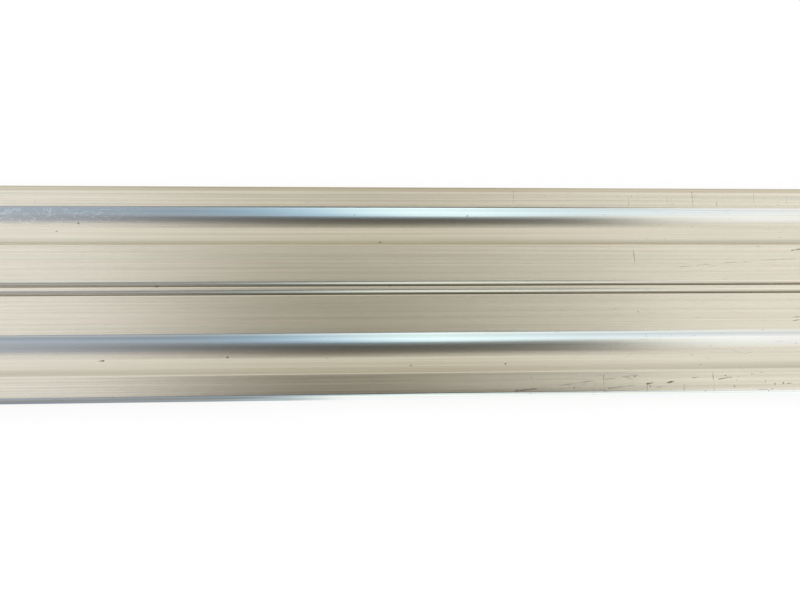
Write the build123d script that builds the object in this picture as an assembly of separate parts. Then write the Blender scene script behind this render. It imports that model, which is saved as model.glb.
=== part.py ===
from build123d import *
import os
from math import sqrt

# Lashing rail: one length of extruded aluminium rail, lying on its back.
# It runs along X. Its front faces up, with two round-bottomed fixing grooves and a pair of scribed
# lines along the middle. Foot pads under the grooves stand on the plane Z = 0. Outside the grooves
# the front carries on as two free lips, so that a strap hook can be laid behind either long edge.
# A bead along each lip's back keeps the hook from slipping off.

# Driving dimensions, in millimetres

# Length that the rail is cut to
rail_length = 1000.0

# Widths across the front, from the middle outwards
centre_width = 42.0
groove_width = 18.5
lip_width = 10.5

# Fixing grooves
groove_depth = 3.0
groove_wall = 3.0
foot_width = 10.0
foot_height = 4.0

# Front plate: the middle strip and the two lips
plate_thickness = 3.0
bead_width = 4.0
bead_height = 2.5

# Scribed lines along the middle of the front, the depth taken to the sharp point of the V
scribe_spacing = 4.0
scribe_width = 2.0
scribe_depth = 1.0

# Corner radii
nose_radius = 1.2
lip_edge_radius = 0.4
groove_edge_radius = 2.0
root_radius = 1.5
scribe_root_radius = 0.5
foot_edge_radius = 0.4
bead_radius_share = 0.4

# Sizes that follow from the driving dimensions
rail_width = centre_width + 2 * (groove_width + lip_width)
rail_height = groove_depth + groove_wall + foot_height
plate_back = rail_height - plate_thickness
bead_back = plate_back - bead_height
bead_inner = rail_width / 2 - bead_width
bead_radius = bead_height * bead_radius_share
groove_centre = (centre_width + groove_width) / 2
groove_radius = (groove_width**2 / 4 + groove_depth**2) / (2 * groove_depth)
groove_axis = rail_height - groove_depth + groove_radius
trough_radius = groove_radius + groove_wall
root_reach = sqrt(trough_radius**2 - (groove_axis - plate_back) ** 2)

sides = (1, -1)


def front_plate():
    """The flat strip that makes the middle of the front and both lips."""
    return Pos(0, (plate_back + rail_height) / 2) * Rectangle(rail_width, plate_thickness)


def bead(side):
    """The thickening along the outer edge of one lip, as deep as the plate and the bead together."""
    middle = side * (bead_inner + rail_width / 2) / 2
    return Pos(middle, (bead_back + rail_height) / 2) * Rectangle(bead_width, rail_height - bead_back)


def trough(side):
    """The wall that wraps the back of one groove, with the flat pad it stands on."""
    wall = Pos(side * groove_centre, groove_axis) * Circle(trough_radius)
    below_front = Pos(side * groove_centre, rail_height / 2) * Rectangle(2 * trough_radius, rail_height)
    pad_top = foot_height + groove_wall
    pad = Pos(side * groove_centre, pad_top / 2) * Rectangle(foot_width, pad_top)
    return (wall & below_front) + pad


def groove(side):
    """The round-bottomed groove that is cut into the front."""
    return Pos(side * groove_centre, groove_axis) * Circle(groove_radius)


def scribe(side):
    """One V-shaped line of the pair that marks the middle of the front, before its root is rounded."""
    middle = side * scribe_spacing / 2
    return make_face(
        Polyline(
            (middle - scribe_width / 2, rail_height),
            (middle, rail_height - scribe_depth),
            (middle + scribe_width / 2, rail_height),
            close=True,
        )
    )


def round_corner(section, y, z, radius):
    """Rounds the corner of the section that lies at (y, z)."""
    corner = section.vertices().sort_by_distance((y, z, 0))[0]
    return fillet(corner, radius)


def rail_section():
    """The cross-section, drawn with the rail's width as X and its height as Y."""
    section = front_plate()
    for side in sides:
        section += bead(side)
        section += trough(side)
    for side in sides:
        section -= groove(side)
        section -= scribe(side)
    corners = (
        (rail_width / 2, rail_height, nose_radius),
        (rail_width / 2, bead_back, lip_edge_radius),
        (bead_inner, bead_back, bead_radius),
        (bead_inner, plate_back, bead_radius),
        (groove_centre + groove_width / 2, rail_height, groove_edge_radius),
        (groove_centre - groove_width / 2, rail_height, groove_edge_radius),
        (scribe_spacing / 2, rail_height - scribe_depth, scribe_root_radius),
        (groove_centre + root_reach, plate_back, root_radius),
        (groove_centre - root_reach, plate_back, root_radius),
        (groove_centre + foot_width / 2, 0, foot_edge_radius),
        (groove_centre - foot_width / 2, 0, foot_edge_radius),
    )
    for y, z, radius in corners:
        for side in sides:
            section = round_corner(section, side * y, z, radius)
    return section


def lashing_rail():
    """The section drawn out along X and sawn square at both ends."""
    return extrude(Plane.YZ * rail_section(), amount=rail_length / 2, both=True)


os.makedirs("parts", exist_ok=True)
export_step(lashing_rail(), "parts/lashing_rail.step")
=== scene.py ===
import bpy
import bmesh
import math
from mathutils import Matrix, Vector


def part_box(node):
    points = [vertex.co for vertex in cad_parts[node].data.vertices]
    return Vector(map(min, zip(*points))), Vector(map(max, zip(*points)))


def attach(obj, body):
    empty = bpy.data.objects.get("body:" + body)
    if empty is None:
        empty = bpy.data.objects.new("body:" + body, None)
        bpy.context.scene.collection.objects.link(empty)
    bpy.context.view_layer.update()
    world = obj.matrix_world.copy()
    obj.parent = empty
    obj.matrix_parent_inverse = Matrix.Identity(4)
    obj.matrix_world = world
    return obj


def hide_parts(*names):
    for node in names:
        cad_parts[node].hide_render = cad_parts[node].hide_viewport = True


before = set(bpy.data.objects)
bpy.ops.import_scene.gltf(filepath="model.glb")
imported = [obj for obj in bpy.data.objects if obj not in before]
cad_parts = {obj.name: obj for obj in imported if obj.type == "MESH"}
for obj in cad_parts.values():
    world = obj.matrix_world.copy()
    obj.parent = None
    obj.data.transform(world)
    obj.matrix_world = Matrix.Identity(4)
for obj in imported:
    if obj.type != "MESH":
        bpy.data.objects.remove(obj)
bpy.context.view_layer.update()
railLow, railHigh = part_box("lashing_rail")
scene = bpy.context.scene
scene.view_settings.view_transform = "Standard"
print("frame loaded, rail", [round(v, 4) for v in railHigh - railLow])

# the rail's section, in metres, from the middle outwards
rail = {
    "centreWidth": 0.042,
    "grooveWidth": 0.0185,
    "grooveDepth": 0.003,
    "grooveLean": 0.048,  # each groove's outer wall is a little steeper than its inner one
    "grooveWall": 0.003,
    "footWidth": 0.010,
    "plate": 0.003,
    "beadWidth": 0.004,
    "beadHeight": 0.0025,
    "lipFallWidth": 0.0036,  # the outer strip of each lip leans down a little
    "lipFall": 0.00013,
    "scribeSpacing": 0.004,
    "scribeWidth": 0.002,
    "scribeDepth": 0.001,
    # bevel widths, measured along the sides of each corner
    "noseBevel": 0.0014,
    "lipBevel": 0.0004,
    "beadBevel": 0.001,
    "grooveBevel": 0.00088,
    "rootBevel": 0.00044,
    "footBevel": 0.0004,
    "scribeBevel": 0.0005,
    "scribeRootBevel": 0.0006,
    "bevelSegments": 8,
    "grooveSteps": 56,
    "troughSteps": 12,
    "rings": 40,
    "endFacing": 0.9,  # a face is an end when its normal has at least this much X
    "endBevel": 0.00018,
    "endSegments": 2,
    "sharpAngle": 50,
    "areaWeight": 50,
    "same": 1e-6,  # points closer than this are one point
}


def sectionHalf(bm, x):
    # one half of the outline as a chain of vertices; an arc is spun from its first vertex
    top = railHigh.z
    side = railHigh.y
    plateBack = top - rail["plate"]
    beadBack = plateBack - rail["beadHeight"]
    beadInner = side - rail["beadWidth"]
    halfGroove = rail["grooveWidth"] / 2
    middle = rail["centreWidth"] / 2 + halfGroove
    radius = (halfGroove ** 2 + rail["grooveDepth"] ** 2) / (2 * rail["grooveDepth"])
    axisZ = top - rail["grooveDepth"] + radius
    outer = radius + rail["grooveWall"]
    rootReach = math.sqrt(outer ** 2 - (axisZ - plateBack) ** 2)
    halfFoot = rail["footWidth"] / 2
    footTop = axisZ - math.sqrt(outer ** 2 - halfFoot ** 2)
    scribeIn = (rail["scribeSpacing"] - rail["scribeWidth"]) / 2
    scribeOut = (rail["scribeSpacing"] + rail["scribeWidth"]) / 2
    # y, z, the corner's bevel, and the steps of an arc that starts there
    corners = [
        (0, top, None, None),
        (scribeIn, top, "scribeBevel", None),
        (rail["scribeSpacing"] / 2, top - rail["scribeDepth"], "scribeRootBevel", None),
        (scribeOut, top, "scribeBevel", None),
        (middle - halfGroove, top, "grooveBevel", "grooveSteps"),
        (middle + halfGroove, top, "grooveBevel", None),
        (side - rail["lipFallWidth"], top, None, None),
        (side, top - rail["lipFall"], "noseBevel", None),
        (side, beadBack, "lipBevel", None),
        (beadInner, beadBack, "beadBevel", None),
        (beadInner, plateBack, "beadBevel", None),
        (middle + rootReach, plateBack, "rootBevel", "troughSteps"),
        (middle + halfFoot, footTop, None, None),
        (middle + halfFoot, railLow.z, "footBevel", None),
        (middle - halfFoot, railLow.z, "footBevel", None),
        (middle - halfFoot, footTop, None, "troughSteps"),
        (middle - rootReach, plateBack, "rootBevel", None),
        (0, plateBack, None, None),
    ]
    verts = [bm.verts.new((x, y, z)) for y, z, bevel, arc in corners]
    centre = Vector((x, middle, axisZ))
    for start, end, (y, z, bevel, arc) in zip(verts, verts[1:], corners):
        if not arc:
            bm.edges.new((start, end))
            continue
        first = len(bm.verts)
        a = start.co - centre
        b = end.co - centre
        angle = math.atan2(a.y * b.z - a.z * b.y, a.y * b.y + a.z * b.z)
        bmesh.ops.spin(bm, geom=[start], cent=centre, axis=(1, 0, 0), angle=angle,
                       steps=rail[arc], use_merge=False, use_duplicate=False)
        bm.verts.ensure_lookup_table()
        if arc == "grooveSteps":
            # the lean is none at the groove's floor and at both rims
            for v in bm.verts[first:]:
                share = (v.co.y - middle) / halfGroove
                v.co.z += rail["grooveLean"] * halfGroove * share ** 3 * (1 - share ** 6)
    bmesh.ops.remove_doubles(bm, verts=bm.verts[:], dist=rail["same"])
    return corners


def roundCorners(bm, corners):
    # every corner with a named bevel, on both halves, each size in one go
    same = rail["same"]
    for name in sorted({bevel for y, z, bevel, arc in corners if bevel}):
        places = [(side * y, z) for y, z, bevel, arc in corners if bevel == name for side in (1, -1)]
        picked = [v for v in bm.verts
                  if any(abs(v.co.y - y) < same and abs(v.co.z - z) < same for y, z in places)]
        bmesh.ops.bevel(bm, geom=picked, offset=rail[name], offset_type="OFFSET",
                        segments=rail["bevelSegments"], profile=0.5, affect="VERTICES",
                        material=-1, clamp_overlap=True)


def makeRail(finish, sawnEnd):
    bm = bmesh.new()
    corners = sectionHalf(bm, railLow.x)
    bmesh.ops.mirror(bm, geom=bm.verts[:] + bm.edges[:], matrix=Matrix(), merge_dist=rail["same"], axis="Y")
    bmesh.ops.contextual_create(bm, geom=bm.edges[:])
    roundCorners(bm, corners)
    print("section", len(bm.verts), "points", len(bm.faces), "face")
    # drawn out to its length
    length = railHigh.x - railLow.x
    grown = bmesh.ops.extrude_face_region(bm, geom=bm.faces[:])
    ends = [g for g in grown["geom"] if isinstance(g, bmesh.types.BMVert)]
    bmesh.ops.translate(bm, vec=(length, 0, 0), verts=ends)
    bmesh.ops.recalc_face_normals(bm, faces=bm.faces[:])
    # sawn ends, edges just broken
    caps = [f for f in bm.faces if abs(f.normal.x) > rail["endFacing"]]
    for cap in caps:
        cap.material_index = 1
    rims = list({e for cap in caps for e in cap.edges})
    bmesh.ops.bevel(bm, geom=rims, offset=rail["endBevel"], offset_type="OFFSET",
                    segments=rail["endSegments"], profile=0.5, affect="EDGES",
                    material=0, clamp_overlap=True)
    # cut into rings
    longEdges = [e for e in bm.edges if abs(e.verts[0].co.x - e.verts[1].co.x) > length / 2]
    bmesh.ops.subdivide_edges(bm, edges=longEdges, cuts=rail["rings"], use_grid_fill=True)
    mesh = bpy.data.meshes.new("lashingRail")
    bm.to_mesh(mesh)
    bm.free()
    mesh.shade_smooth()
    mesh.set_sharp_from_angle(angle=math.radians(rail["sharpAngle"]))
    mesh.materials.append(finish)
    mesh.materials.append(sawnEnd)
    piece = bpy.data.objects.new("lashingRail", mesh)
    scene.collection.objects.link(piece)
    weighted = piece.modifiers.new("flatFaces", "WEIGHTED_NORMAL")
    weighted.mode = "FACE_AREA"
    weighted.weight = rail["areaWeight"]
    weighted.keep_sharp = True
    print("rail mesh", len(mesh.vertices), "vertices", len(mesh.polygons), "faces")
    return piece


def put(tree, kind, inputs=None, **settings):
    # a node with its settings; an input is another node's output or a plain value, a colour without alpha
    made = tree.nodes.new(kind)
    for name, value in settings.items():
        setattr(made, name, value)
    for name, value in (inputs or {}).items():
        socket = made.inputs[name]
        if isinstance(value, bpy.types.NodeSocket):
            tree.links.new(value, socket)
        elif socket.type == "RGBA":
            socket.default_value = (*value, 1)
        else:
            socket.default_value = value
    return made


def calc(tree, operation, a, b=0.0, c=0.0):
    return put(tree, "ShaderNodeMath", {0: a, 1: b, 2: c}, operation=operation).outputs["Value"]


def times(tree, product, *others):
    for other in others:
        product = calc(tree, "MULTIPLY", product, other)
    return product


def fromPoint(tree, value, point):
    # distance along one axis
    return calc(tree, "ABSOLUTE", calc(tree, "SUBTRACT", value, point))


def vectorCalc(tree, operation, a, b=(0, 0, 0), c=(0, 0, 0)):
    return put(tree, "ShaderNodeVectorMath", {0: a, 1: b, 2: c}, operation=operation).outputs["Vector"]


def measure(tree, operation, a, b=(0, 0, 0)):
    # a vector operation that gives one number
    return put(tree, "ShaderNodeVectorMath", {0: a, 1: b}, operation=operation).outputs["Value"]


def scaled(tree, vector, factor):
    made = put(tree, "ShaderNodeVectorMath", {0: vector, "Scale": factor}, operation="SCALE")
    return made.outputs["Vector"]


def axes(tree, vector):
    return put(tree, "ShaderNodeSeparateXYZ", {"Vector": vector}).outputs


def linear(tree, value, start, end, low=0.0, high=1.0, kind="LINEAR"):
    # straight change from low at start to high at end
    ranged = put(tree, "ShaderNodeMapRange", {"Value": value, "From Min": start, "From Max": end,
                                              "To Min": low, "To Max": high}, interpolation_type=kind)
    return ranged.outputs["Result"]


def fade(tree, value, start, end, low=0.0, high=1.0):
    # the same with soft ends
    return linear(tree, value, start, end, low, high, "SMOOTHSTEP")


def mixColour(tree, share, a, b):
    return put(tree, "ShaderNodeMix", {0: share, 6: a, 7: b}, data_type="RGBA").outputs[2]


def tinted(tree, colour, share, tint):
    # colour times a tint, where share says
    return vectorCalc(tree, "MULTIPLY", colour, mixColour(tree, share, (1, 1, 1), tint))


def noise(tree, place, scale, detail, **more):
    made = put(tree, "ShaderNodeTexNoise", {"Vector": place, "Scale": scale, "Detail": detail, **more})
    return made.outputs


def stretched(tree, place, scale):
    made = put(tree, "ShaderNodeMapping", {"Vector": place, "Scale": scale}, vector_type="POINT")
    return made.outputs["Vector"]


def bumped(tree, height, distance, inputs=None):
    made = put(tree, "ShaderNodeBump", {"Height": height, "Strength": 1.0, "Distance": distance,
                                        **(inputs or {})})
    return made.outputs["Normal"]


def metal(tree, colour, roughness, normal):
    shader = put(tree, "ShaderNodeBsdfPrincipled", {
        "Base Color": colour, "Metallic": 1.0, "Roughness": roughness, "Normal": normal})
    put(tree, "ShaderNodeOutputMaterial", {"Surface": shader.outputs["BSDF"]})


def emptyTree(owner):
    owner.use_nodes = True
    owner.node_tree.nodes.clear()
    return owner.node_tree


# what the bare extruded aluminium looks like
millFinish = {
    "colour": (0.736, 0.688, 0.578),
    "roughness": 0.19,
    "roughSwing": 0.06,
    "frontFade": (0.1, 0.3),  # the front is where the normal has this much Z
    # die lines: how close they lie along and across the rail, their detail, how far they change the tone
    "fineLines": ((6.0, 1250, 1250), 2.0, 0.095),
    "middleLines": ((3.0, 540, 540), 3.0, 0.045),
    "broadLines": ((1.5, 150, 150), 2.0, 0.02),
    "blotches": ((18.0, 60.0, 60.0), 3.0, 0.02),
    "lineRoughness": 0.6,
    "noiseRange": (0.3, 0.7),
    "calm": (0.040, 0.036),  # weaker lines between the lips, metres from the middle
    "calmShare": 0.62,
    "fineHeight": 6.0e-6,
    "middleHeight": 1.4e-5,
    # slight changes of hue, in lines of their own
    "hueLines": ((0.9, 300, 300), 2.0),
    "hueFade": (0.35, 0.65),
    "pink": (1.009, 0.997, 0.986),
    "green": (0.990, 1.004, 0.988),
}
# painted shade: darker strips along the lips' outer edges, a painted highlight line beside the far one, and
# painted shade in the scribed lines
edgeTone = {
    "far": (0.0471, 0.0475),
    "farTint": (0.85, 0.825, 0.775),
    "farHighlightLine": 0.0468,  # a painted highlight line beside the strip
    "highlightLineWidth": 0.0004,
    "highlightLineTint": (1.05, 1.05, 1.05),
    "near": (-0.0462, -0.0496),
    "nearTint": (0.93, 0.92, 0.90),
    # painted shade in the scribed lines is measured from each line's middle, light on one wall and deep on
    # the other
    "scribeShadeReach": (0.00115, 0.0009),
    "thinScribeShade": (0.90, 0.78, 0.64),
    "scribeShadeFrom": (0.0005, 0.0002),
    "deepScribeShade": (0.41, 0.41, 0.405),
    "paleScribeShade": (0.58, 0.575, 0.56),  # what the deep painted shade becomes towards -X
    "paleFrom": (-0.04, -0.13),
}
# scratches on the front, in millimetres: from x, y to x, y, width, darkness
scratches = [
    (131, 10.2, 157, 12.5, 0.45, 0.30),
    (157, 12.5, 190, 14.3, 0.45, 0.30),
    (190, 14.3, 214, 15.0, 0.45, 0.26),
    (110, 19.6, 110, 11.3, 0.45, 0.28),
    (186, 18.4, 191, 19.0, 0.60, 0.62),
    (182, -14.6, 185, -14.4, 0.45, 0.55),
    (182, -16.3, 185, -15.8, 0.45, 0.50),
    (50, -48.0, 59, -47.1, 0.60, 0.50),
    (59, -47.1, 76, -45.0, 0.45, 0.34),
    (76, -45.0, 106, -41.4, 0.45, 0.36),
    (92, -47.4, 104, -46.0, 0.45, 0.34),
    (110, -45.5, 112, -45.4, 0.75, 0.70),
    (119, -45.2, 122, -44.6, 0.70, 0.72),
    (114, -47.3, 116, -47.1, 0.60, 0.55),
    (131, -43.0, 134, -42.7, 0.50, 0.50),
    (143, -43.8, 149, -42.9, 0.50, 0.58),
    (175, -46.1, 177, -45.9, 0.55, 0.50),
    (-131.5, -31.7, -129.5, -31.5, 0.60, 0.85),
    (-41, 42.0, -37, 42.3, 0.50, 0.30),
    (-41.5, 20.3, -39.5, 19.2, 0.45, 0.35),
]
# hairlines straight across the lips: x, y from, y to, darkness
hairlines = [
    (110.3, 46, 41, 0.32), (128.9, 47, 41, 0.24), (141.2, 48, 40, 0.34), (152.8, 45, 41, 0.26),
    (171.3, 47, 42, 0.30), (179.5, 46, 42, 0.26), (187.3, 46, 42, 0.28), (55.4, 48, 42, 0.34),
    (-170.4, 46, 41, 0.14), (-161.6, 46, 41, 0.16), (90.2, -41, -49, 0.42), (109.8, -46, -49, 0.42),
    (126.8, -46, -49, 0.48), (140.8, -40, -44, 0.42), (140.8, -46, -49, 0.45),
]
# small dark pits: x, y, across
pits = [
    (-152.2, 28.8, 0.9), (-142.7, 32.6, 0.7), (-76.4, -30.4, 0.8), (-19, 36.5, 0.6), (33.5, 36.2, 0.6),
    (-32.8, -31.2, 0.6), (4.1, -35.4, 0.6), (46.5, -35.0, 0.7), (-7.6, 22.9, 0.8), (109, -11.6, 0.6),
    (118, -4.6, 0.5), (134.5, -22.6, 0.6), (-14.6, 1.6, 0.8), (-3.9, 1.6, 0.8), (-107.4, 1.6, 1.0),
    (158.9, -41.4, 0.6), (163.4, -41.0, 0.5), (169, -46.2, 0.7), (173, -45.9, 0.6), (152, -42.6, 0.5),
    (156.5, -47.2, 0.5),
]
# how the marks listed above are drawn, in millimetres
listed = {
    "edge": (0.8, 0.35),  # shares of a mark's width, from clear to full
    "hairWidth": 0.45,
    "hairLean": 0.3,
    "pitLength": 0.1,
    "pitDark": 0.6,
    "waver": 0.5,
    "waverScale": 0.16,
    "patchScale": 0.45,
    "patchFade": (0.34, 0.56),
    "patchShares": (0.5, 1.5),
    "detail": 2.0,
    "rough": 0.3,
}
# finer marks that nothing in particular left, more of them towards one end, in metres
wear = {
    "from": (-0.10, 0.16),
    "least": 0.12,
    "most": 0.48,
    "lip": (-0.040, -0.0425),  # the near lip is worn most
    "lipGain": 2.8,
    # lines along and across the rail, and specks; share is how many of the cells have one
    "along": {"cell": (0.013, 0.006), "heading": 0.0, "spread": 0.5, "length": 0.0055,
              "share": 0.34, "dark": 0.30},
    "across": {"cell": (0.010, 0.012), "heading": math.pi / 2, "spread": 0.25, "length": 0.0045,
               "share": 0.30, "dark": 0.22},
    "lineWidth": 0.00022,
    "lineCore": 0.2,  # share of the width that is full
    "lineEnds": (0.4, 0.25),  # shares of the length, from clear to full
    "shortest": 0.3,
    "specks": {"cell": (0.00832, 0.0052), "size": 0.00034, "smallest": 0.4, "core": 0.4,
               "share": 0.34, "dark": 0.6},
}
# pale scuffs in one groove, in metres
scuff = {
    "from": (-0.10, -0.15),
    "band": (0.030, 0.034),
    "depth": (0.0099, 0.0094),
    "scale": (90.0, 170.0, 1.0),
    "detail": 1.5,
    "twist": 2.5,
    "ring": 0.04,
    "pale": 0.24,
    "rough": 0.3,
}


def streaks(tree, place, scale, detail):
    # noise drawn out along the rail, as the die leaves it
    drawn = stretched(tree, place, scale)
    return noise(tree, drawn, 1.0, detail, Roughness=millFinish["lineRoughness"])["Fac"]


def tone(tree, value, swing):
    # noise turned into a factor about 1
    return linear(tree, value, *millFinish["noiseRange"], 1.0 - swing, 1.0 + swing)


def dieLines(tree, place, spot):
    # the tone that the die lines give, and the noise of each kind
    kinds = {name: streaks(tree, place, *millFinish[name][:2])
             for name in ("fineLines", "middleLines", "broadLines", "blotches")}
    tones = {name: tone(tree, kind, millFinish[name][2]) for name, kind in kinds.items()}
    lines = times(tree, tones["fineLines"], tones["middleLines"], tones["broadLines"])
    fromMiddle = calc(tree, "ABSOLUTE", spot["Y"])
    strength = fade(tree, fromMiddle, *millFinish["calm"], 1.0, millFinish["calmShare"])
    lines = calc(tree, "MULTIPLY_ADD", calc(tree, "SUBTRACT", lines, 1.0), strength, 1.0)
    return times(tree, lines, tones["blotches"]), kinds


def lipAndScribeShading(tree, colour, spot, front):
    # painted shade on the lips' outer strips, and a painted highlight line beside the far strip
    farStrip = times(tree, fade(tree, spot["Y"], *edgeTone["far"]), front)
    colour = tinted(tree, colour, farStrip, edgeTone["farTint"])
    highlightLine = fade(tree, fromPoint(tree, spot["Y"], edgeTone["farHighlightLine"]), edgeTone["highlightLineWidth"], 0.0)
    colour = tinted(tree, colour, highlightLine, edgeTone["highlightLineTint"])
    nearStrip = times(tree, fade(tree, spot["Y"], *edgeTone["near"]), front)
    colour = tinted(tree, colour, nearStrip, edgeTone["nearTint"])
    # painted shade in the scribed lines: deep on the wall that faces +Y and paler towards -X, light on the
    # other wall
    pale = fade(tree, spot["X"], *edgeTone["paleFrom"])
    deepScribeShade = mixColour(tree, pale, edgeTone["deepScribeShade"], edgeTone["paleScribeShade"])
    for side in (1, -1):
        away = calc(tree, "SUBTRACT", spot["Y"], side * rail["scribeSpacing"] / 2)
        scribeShaded = times(tree, fade(tree, calc(tree, "ABSOLUTE", away), *edgeTone["scribeShadeReach"]), front)
        thick = fade(tree, away, *edgeTone["scribeShadeFrom"])
        colour = tinted(tree, colour, scribeShaded, mixColour(tree, thick, edgeTone["thinScribeShade"], deepScribeShade))
    return colour


def lineMask(tree, flat, start, end, width):
    # how near a point is to a line between two others, in millimetres
    a = Vector((*start, 0))
    along = Vector((*end, 0)) - a
    toPoint = vectorCalc(tree, "SUBTRACT", flat, a)
    far = measure(tree, "DOT_PRODUCT", toPoint, along.normalized())
    held = put(tree, "ShaderNodeClamp", {"Value": far, "Max": along.length})
    foot = scaled(tree, along.normalized(), held.outputs["Result"])
    gap = measure(tree, "DISTANCE", toPoint, foot)
    return fade(tree, gap, *(width * share for share in listed["edge"]))


def listedMarks(tree, flat):
    # flat is in metres, the marks waver a little and are fainter in patches
    inMillimetres = scaled(tree, flat, 1000.0)
    waver = noise(tree, inMillimetres, listed["waverScale"], listed["detail"])["Color"]
    wavering = vectorCalc(tree, "MULTIPLY_ADD", waver, (listed["waver"],) * 3, inMillimetres)
    rows = [((x0, y0), (x1, y1), width, dark) for x0, y0, x1, y1, width, dark in scratches]
    rows += [((x, y0), (x - listed["hairLean"], y1), listed["hairWidth"], dark)
             for x, y0, y1, dark in hairlines]
    rows += [((x, y), (x + listed["pitLength"], y), across, listed["pitDark"]) for x, y, across in pits]
    total = 0.0
    for start, end, width, dark in rows:
        mask = times(tree, lineMask(tree, wavering, start, end, width), dark)
        total = calc(tree, "MAXIMUM", total, mask)
    patchy = noise(tree, inMillimetres, listed["patchScale"], listed["detail"])["Fac"]
    return times(tree, total, fade(tree, patchy, *listed["patchFade"], *listed["patchShares"]))


def cells(tree, flat, size):
    # random cells: where a point lies in its cell, and three random values
    shrunk = vectorCalc(tree, "MULTIPLY", flat, (1 / size[0], 1 / size[1], 0))
    grid = put(tree, "ShaderNodeTexVoronoi", {"Vector": shrunk, "Scale": 1.0},
               voronoi_dimensions="2D", feature="F1").outputs
    local = vectorCalc(tree, "MULTIPLY", vectorCalc(tree, "SUBTRACT", shrunk, grid["Position"]), (*size, 0))
    split = put(tree, "ShaderNodeSeparateColor", {"Color": grid["Color"]}).outputs
    return local, split["Red"], split["Green"], split["Blue"]


def strayLines(tree, flat, kind):
    local, turn, reach, chance = cells(tree, flat, kind["cell"])
    angle = linear(tree, turn, 0.0, 1.0, kind["heading"] - kind["spread"], kind["heading"] + kind["spread"])
    turned = put(tree, "ShaderNodeVectorRotate", {"Vector": local, "Angle": angle}, rotation_type="Z_AXIS")
    split = axes(tree, turned.outputs["Vector"])
    reach = calc(tree, "ADD", reach, wear["shortest"])
    along = calc(tree, "DIVIDE", calc(tree, "ABSOLUTE", split["X"]), reach)
    across = calc(tree, "ABSOLUTE", split["Y"])
    inWidth = fade(tree, across, wear["lineWidth"], wear["lineWidth"] * wear["lineCore"])
    inLength = fade(tree, along, *(kind["length"] * share for share in wear["lineEnds"]))
    return times(tree, inWidth, inLength, calc(tree, "LESS_THAN", chance, kind["share"]), kind["dark"])


def straySpecks(tree, flat, kind):
    local, turn, reach, chance = cells(tree, flat, kind["cell"])
    width = times(tree, calc(tree, "ADD", reach, kind["smallest"]), kind["size"])
    far = calc(tree, "DIVIDE", measure(tree, "LENGTH", local), width)
    near = fade(tree, far, 1.0, kind["core"])
    return times(tree, near, calc(tree, "LESS_THAN", chance, kind["share"]), kind["dark"])


def strayMarks(tree, flat, spot):
    total = straySpecks(tree, flat, wear["specks"])
    for kind in (wear["along"], wear["across"]):
        total = calc(tree, "MAXIMUM", total, strayLines(tree, flat, kind))
    worn = fade(tree, spot["X"], *wear["from"], wear["least"], wear["most"])
    return times(tree, total, worn, fade(tree, spot["Y"], *wear["lip"], 1.0, wear["lipGain"]))


def scuffMask(tree, flat, spot):
    # thin rings round the swirls of twisted noise
    drawn = stretched(tree, flat, scuff["scale"])
    swirls = noise(tree, drawn, 1.0, scuff["detail"], Distortion=scuff["twist"])
    rings = fade(tree, fromPoint(tree, swirls["Fac"], 0.5), scuff["ring"], 0.0)
    return times(tree, rings, fade(tree, spot["X"], *scuff["from"]), fade(tree, spot["Y"], *scuff["band"]),
                 fade(tree, spot["Z"], *scuff["depth"]))


def makeMillFinish():
    material = bpy.data.materials.new("millAluminium")
    tree = emptyTree(material)
    coords = put(tree, "ShaderNodeTexCoord").outputs
    place = coords["Object"]
    spot = axes(tree, place)
    flat = vectorCalc(tree, "MULTIPLY", place, (1, 1, 0))
    front = fade(tree, axes(tree, coords["Normal"])["Z"], *millFinish["frontFade"])
    lines, kinds = dieLines(tree, place, spot)
    marks = calc(tree, "MAXIMUM", listedMarks(tree, flat), strayMarks(tree, flat, spot))
    marks = times(tree, marks, front)
    scuffs = times(tree, scuffMask(tree, flat, spot), front)
    # colour
    hue = fade(tree, streaks(tree, place, *millFinish["hueLines"]), *millFinish["hueFade"])
    tint = mixColour(tree, hue, millFinish["pink"], millFinish["green"])
    colour = vectorCalc(tree, "MULTIPLY", millFinish["colour"], tint)
    # painted shade and a painted highlight along the lips, and painted shade in the scribed lines
    colour = lipAndScribeShading(tree, colour, spot, front)
    pale = calc(tree, "MULTIPLY_ADD", scuffs, scuff["pale"], 1.0)
    colour = scaled(tree, colour, times(tree, lines, calc(tree, "SUBTRACT", 1.0, marks), pale))
    # roughness and bump
    rough = tone(tree, kinds["middleLines"], millFinish["roughSwing"])
    rough = calc(tree, "MULTIPLY_ADD", marks, listed["rough"], rough)
    rough = calc(tree, "MULTIPLY_ADD", scuffs, scuff["rough"], rough)
    normal = bumped(tree, kinds["middleLines"], millFinish["middleHeight"])
    normal = bumped(tree, kinds["fineLines"], millFinish["fineHeight"], {"Normal": normal})
    metal(tree, colour, times(tree, rough, millFinish["roughness"]), normal)
    print("mill finish", len(tree.nodes), "nodes")
    return material


# cut ends, with the arcs that the saw blade leaves
sawn = {
    "blade": (0.0, -0.02, -0.16),  # the blade's centre
    "pitch": 0.0007,
    "detail": 3.0,
    "swing": 0.10,
    "height": 1.2e-5,
    "roughness": 0.3,
}


def makeSawnEnd():
    material = bpy.data.materials.new("sawnAluminium")
    tree = emptyTree(material)
    place = put(tree, "ShaderNodeTexCoord").outputs["Object"]
    flat = vectorCalc(tree, "MULTIPLY", place, (0, 1, 1))
    turns = calc(tree, "DIVIDE", measure(tree, "DISTANCE", flat, sawn["blade"]), sawn["pitch"])
    arcs = put(tree, "ShaderNodeTexNoise", {"W": turns, "Scale": 1.0, "Detail": sawn["detail"]},
               noise_dimensions="1D").outputs["Fac"]
    colour = scaled(tree, millFinish["colour"], tone(tree, arcs, sawn["swing"]))
    metal(tree, colour, sawn["roughness"], bumped(tree, arcs, sawn["height"]))
    return material


railPiece = makeRail(makeMillFinish(), makeSawnEnd())
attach(railPiece, "root")
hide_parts("lashing_rail")
print("rail rides on root")

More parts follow.
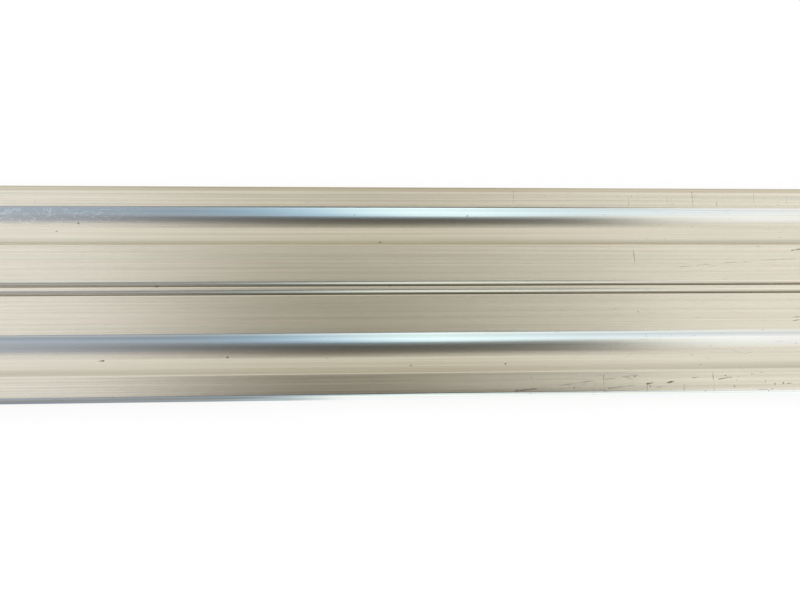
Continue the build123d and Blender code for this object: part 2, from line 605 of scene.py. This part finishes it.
# floor and sky
studio = {
    "floorSize": 12.0,
    "floorGlow": 0.82,
    "floorAlbedo": 0.2,
    "horizon": (0.56, 0.545, 0.51),
    "clearFrom": 0.56,
    "zenith": (1.0, 1.0, 1.0),
    "coolZenith": (1.0, 1.01, 1.06),
    "coolFrom": (0.15, -0.25),  # the sky is cooler towards -X
}


def stageObject(name, bm, material):
    mesh = bpy.data.meshes.new(name)
    bm.to_mesh(mesh)
    bm.free()
    mesh.materials.append(material)
    made = bpy.data.objects.new(name, mesh)
    scene.collection.objects.link(made)
    return made


def makeFloor():
    material = bpy.data.materials.new("floorWhite")
    tree = emptyTree(material)
    diffuse = put(tree, "ShaderNodeBsdfDiffuse", {"Color": (studio["floorAlbedo"],) * 3})
    glow = put(tree, "ShaderNodeEmission", {"Strength": studio["floorGlow"]})
    lit = put(tree, "ShaderNodeAddShader", {0: diffuse.outputs["BSDF"], 1: glow.outputs["Emission"]})
    put(tree, "ShaderNodeOutputMaterial", {"Surface": lit.outputs["Shader"]})
    bm = bmesh.new()
    bmesh.ops.create_grid(bm, x_segments=1, y_segments=1, size=studio["floorSize"])
    bmesh.ops.translate(bm, vec=(0, 0, railLow.z), verts=bm.verts[:])
    stageObject("floor", bm, material)


def makeWorld():
    scene.world = bpy.data.worlds.new("studio")
    tree = emptyTree(scene.world)
    heading = axes(tree, put(tree, "ShaderNodeTexCoord").outputs["Generated"])
    cool = fade(tree, heading["X"], *studio["coolFrom"])
    zenith = mixColour(tree, cool, studio["zenith"], studio["coolZenith"])
    rise = linear(tree, heading["Z"], 0.0, studio["clearFrom"])
    sky = put(tree, "ShaderNodeBackground", {"Color": mixColour(tree, rise, studio["horizon"], zenith)})
    put(tree, "ShaderNodeOutputWorld", {"Surface": sky.outputs["Background"]})


# light panel that bends round the front of the rail; 0 degrees is straight up, positive leans to -Y,
# and places along it are slopes, X for each metre of radius
panel = {
    "radius": 3.0,
    "from": -22.0,
    "to": 84.0,
    "left": -0.5,
    "right": 0.6,
    "rightFade": (0.59, 0.49),
    "low": (82.0, 72.0),
    "edge": (-11.0, 9.0),
    "edgeLean": -8.0,  # tilts the panel's upper edge, degrees for each unit of slope
    "bandEdge": (11.0, 22.0),  # from the upper band's colours to the lower band's
    "bandLean": -48.0,  # bends that edge down on both sides of bandMiddle, degrees for each unit of slope
    "bandMiddle": 0.105,
    "lean": 0.0055,  # how far the lower band's colours shift along the panel, for each degree
    "leanFrom": 32.0,
    "fall": (27.0, 52.0),  # the lower band dims downwards
    "fallShares": (1.16, 0.86),
    "upperStops": [
        (-0.24, (0.53, 0.61, 0.80)),
        (-0.12, (0.34, 0.39, 0.49)),
        (0.03, (0.14, 0.17, 0.22)),
        (0.26, (0.20, 0.23, 0.26)),
        (0.345, (1.26, 1.32, 1.36)),
        (0.46, (1.28, 1.39, 1.64)),
    ],
    "lowerStops": [
        (-0.22, (0.46, 0.58, 0.82)),
        (-0.06, (0.28, 0.39, 0.55)),
        (0.00, (0.27, 0.53, 0.94)),
        (0.11, (1.26, 1.66, 1.92)),
        (0.25, (0.82, 1.06, 1.36)),
        (0.44, (0.93, 1.05, 1.29)),
    ],
    # below both bands, what the steep faces mirror
    "skirtEdge": (54.0, 68.0),
    "skirtStops": [
        (-0.24, (0.80, 0.84, 0.90)),
        (-0.13, (0.70, 0.74, 0.80)),
        (-0.05, (0.34, 0.40, 0.48)),
        (0.065, (1.36, 1.56, 1.78)),
        (0.40, (1.32, 1.45, 1.60)),
    ],
}
# dark card high over the rail
card = {
    "radius": 2.9,
    "from": -60.0,
    "to": 60.0,
    "left": -0.4,
    "right": 0.7,
    "top": (-28.2, -14.2),
    "low": (24.0, 13.0),
    "leftFade": (-0.22, 0.03),
    "rightFade": (0.347, 0.325),
    "thin": (0.03, 0.30),  # the card lets light through towards +X, its rim more than its core
    "thinShare": 0.55,
    "coreShare": 0.11,
    "core": (0.086, 0.084, 0.077),
    "rim": (0.24, 0.232, 0.21),
    "rimToCore": (-15.0, -3.0),
}
# weak wide card that shades the rail's middle
shade = {
    "radius": 2.8,
    "from": -95.0,
    "to": 60.0,
    "left": -0.4,
    "right": 0.7,
    "top": (-110.0, -95.0),
    "low": (5.0, -45.0),
    "leftFade": (-0.23, 0.03),
    "rightFade": (0.42, 0.12),
    "strength": 0.42,
    "colour": (0.31, 0.28, 0.12),
}
bendSteps = 32  # faces round the panel and each card
# strip on the floor in front, for the lip's side; places along it are metres
strip = {
    "near": 0.0503,
    "far": 0.6,
    "left": -0.8,
    "right": 0.8,
    "lift": 0.001,
    "stops": [
        (-0.17, (0.32, 0.37, 0.48)),
        (-0.085, (0.38, 0.44, 0.53)),
        (-0.055, (0.50, 0.63, 0.78)),
        (-0.02, (1.12, 1.22, 1.38)),
    ],
}
# low card that stands before the lip's rounded edge
lipCard = {
    "away": 0.0525,
    "low": 0.0075,
    "high": 0.0110,
    "left": -0.8,
    "right": 0.8,
    "stops": [
        (-0.17, (0.44, 0.48, 0.56)),
        (-0.072, (0.33, 0.39, 0.47)),
        (-0.022, (1.34, 1.50, 1.72)),
    ],
}


def reflectedOnly(made):
    made.visible_camera = False
    made.visible_diffuse = False
    made.visible_shadow = False
    made.visible_transmission = False


def hangBent(name, size, material):
    # a line along X, spun about the rail's long axis
    radius = size["radius"]
    angle = math.radians(size["from"])
    bm = bmesh.new()
    ends = [bm.verts.new((slope * radius, -radius * math.sin(angle), radius * math.cos(angle)))
            for slope in (size["left"], size["right"])]
    edge = bm.edges.new(ends)
    bmesh.ops.spin(bm, geom=ends + [edge], cent=(0, 0, 0), axis=(1, 0, 0),
                   angle=math.radians(size["to"] - size["from"]), steps=bendSteps,
                   use_merge=False, use_duplicate=False)
    reflectedOnly(stageObject(name, bm, material))


def panelPlace(tree, radius):
    # slope along the rail, and the angle about it in degrees
    spot = axes(tree, put(tree, "ShaderNodeTexCoord").outputs["Object"])
    slope = calc(tree, "DIVIDE", spot["X"], radius)
    angle = calc(tree, "ARCTAN2", calc(tree, "MULTIPLY", spot["Y"], -1.0), spot["Z"])
    return slope, calc(tree, "DEGREES", angle)


def glowRamp(tree, place, size, stops):
    # colours along a panel, the ramp's 0 and 1 are the panel's ends
    ramp = put(tree, "ShaderNodeValToRGB", {"Fac": linear(tree, place, size["left"], size["right"])})
    ramp.color_ramp.interpolation = "EASE"
    elements = ramp.color_ramp.elements
    for index, (at, colour) in enumerate(stops):
        position = (at - size["left"]) / (size["right"] - size["left"])
        element = elements[index] if index < 2 else elements.new(position)
        element.position = position
        element.color = (*colour, 1)
    return ramp.outputs["Color"]


def softGlow(tree, colour, mask):
    clear = put(tree, "ShaderNodeBsdfTransparent").outputs["BSDF"]
    glow = put(tree, "ShaderNodeEmission", {"Color": colour}).outputs["Emission"]
    mix = put(tree, "ShaderNodeMixShader", {"Fac": mask, 1: clear, 2: glow})
    put(tree, "ShaderNodeOutputMaterial", {"Surface": mix.outputs["Shader"]})


def makePanel():
    material = bpy.data.materials.new("panelGlow")
    tree = emptyTree(material)
    slope, angle = panelPlace(tree, panel["radius"])
    upper = glowRamp(tree, slope, panel, panel["upperStops"])
    above = calc(tree, "MINIMUM", calc(tree, "SUBTRACT", angle, panel["leanFrom"]), 0.0)
    leaning = calc(tree, "MULTIPLY_ADD", above, panel["lean"], slope)
    lower = glowRamp(tree, leaning, panel, panel["lowerStops"])
    lower = scaled(tree, lower, fade(tree, angle, *panel["fall"], *panel["fallShares"]))
    aside = fromPoint(tree, slope, panel["bandMiddle"])
    across = calc(tree, "MULTIPLY_ADD", aside, panel["bandLean"], angle)
    colour = mixColour(tree, fade(tree, across, *panel["bandEdge"]), upper, lower)
    skirt = glowRamp(tree, slope, panel, panel["skirtStops"])
    colour = mixColour(tree, fade(tree, angle, *panel["skirtEdge"]), colour, skirt)
    across = calc(tree, "MULTIPLY_ADD", slope, panel["edgeLean"], angle)
    mask = times(tree, fade(tree, across, *panel["edge"]), fade(tree, angle, *panel["low"]),
                 fade(tree, slope, *panel["rightFade"]))
    softGlow(tree, colour, mask)
    hangBent("lightPanel", panel, material)


def cardMask(tree, slope, angle, size):
    return times(tree, fade(tree, angle, *size["top"]), fade(tree, angle, *size["low"]),
                 fade(tree, slope, *size["leftFade"]), fade(tree, slope, *size["rightFade"]))


def makeCard():
    material = bpy.data.materials.new("cardDark")
    tree = emptyTree(material)
    slope, angle = panelPlace(tree, card["radius"])
    core = fade(tree, angle, *card["rimToCore"])
    share = linear(tree, core, 0.0, 1.0, card["thinShare"], card["coreShare"])
    thin = times(tree, fade(tree, slope, *card["thin"]), share)
    mask = times(tree, cardMask(tree, slope, angle, card), calc(tree, "SUBTRACT", 1.0, thin))
    softGlow(tree, mixColour(tree, core, card["rim"], card["core"]), mask)
    hangBent("darkCard", card, material)


def makeShade():
    material = bpy.data.materials.new("shadeCard")
    tree = emptyTree(material)
    slope, angle = panelPlace(tree, shade["radius"])
    softGlow(tree, shade["colour"], times(tree, cardMask(tree, slope, angle, shade), shade["strength"]))
    hangBent("shadeCard", shade, material)


def lowCard(name, size, middle, width, turn):
    # a flat card that glows in colours along X, turned about X
    material = bpy.data.materials.new(name + "Glow")
    tree = emptyTree(material)
    spot = axes(tree, put(tree, "ShaderNodeTexCoord").outputs["Object"])
    glow = put(tree, "ShaderNodeEmission", {"Color": glowRamp(tree, spot["X"], size, size["stops"])})
    put(tree, "ShaderNodeOutputMaterial", {"Surface": glow.outputs["Emission"]})
    lengths = Matrix.Diagonal((size["right"] - size["left"], width, 1, 1))
    bm = bmesh.new()
    bmesh.ops.create_grid(bm, x_segments=1, y_segments=1, size=0.5)
    bmesh.ops.transform(bm, matrix=Matrix.Translation(middle) @ Matrix.Rotation(turn, 4, "X") @ lengths,
                        verts=bm.verts[:])
    reflectedOnly(stageObject(name, bm, material))


def makeLowCards():
    middle = Vector((0, -(strip["near"] + strip["far"]) / 2, railLow.z + strip["lift"]))
    lowCard("frontStrip", strip, middle, strip["far"] - strip["near"], 0.0)
    middle = Vector((0, -lipCard["away"], railLow.z + (lipCard["low"] + lipCard["high"]) / 2))
    lowCard("lipCard", lipCard, middle, lipCard["high"] - lipCard["low"], math.pi / 2)


makeFloor()
makeWorld()
makePanel()
makeCard()
makeShade()
makeLowCards()
print("floor and light set")

# camera, set from the lines of the rail in the picture
view = {
    "focalPixels": 1300,
    "imageWidth": 800,
    "sensorWidth": 36.0,
    "tilt": 19.91,
    "turn": -18.66,
    "roll": 17.33,
    "distance": 0.5823,
    "target": (0.0, -0.00559, 0.010),
}


def makeCamera():
    data = bpy.data.cameras.new("camera")
    data.sensor_width = view["sensorWidth"]
    data.lens = view["focalPixels"] / view["imageWidth"] * view["sensorWidth"]
    camera = bpy.data.objects.new("camera", data)
    scene.collection.objects.link(camera)
    turn = (Matrix.Rotation(math.radians(view["turn"]), 4, "Z")
            @ Matrix.Rotation(math.radians(view["tilt"]), 4, "X")
            @ Matrix.Rotation(math.radians(view["roll"]), 4, "Z"))
    back = turn @ Vector((0, 0, 1))
    camera.matrix_world = Matrix.Translation(Vector(view["target"]) + back * view["distance"]) @ turn
    scene.camera = camera


makeCamera()
print("camera set")
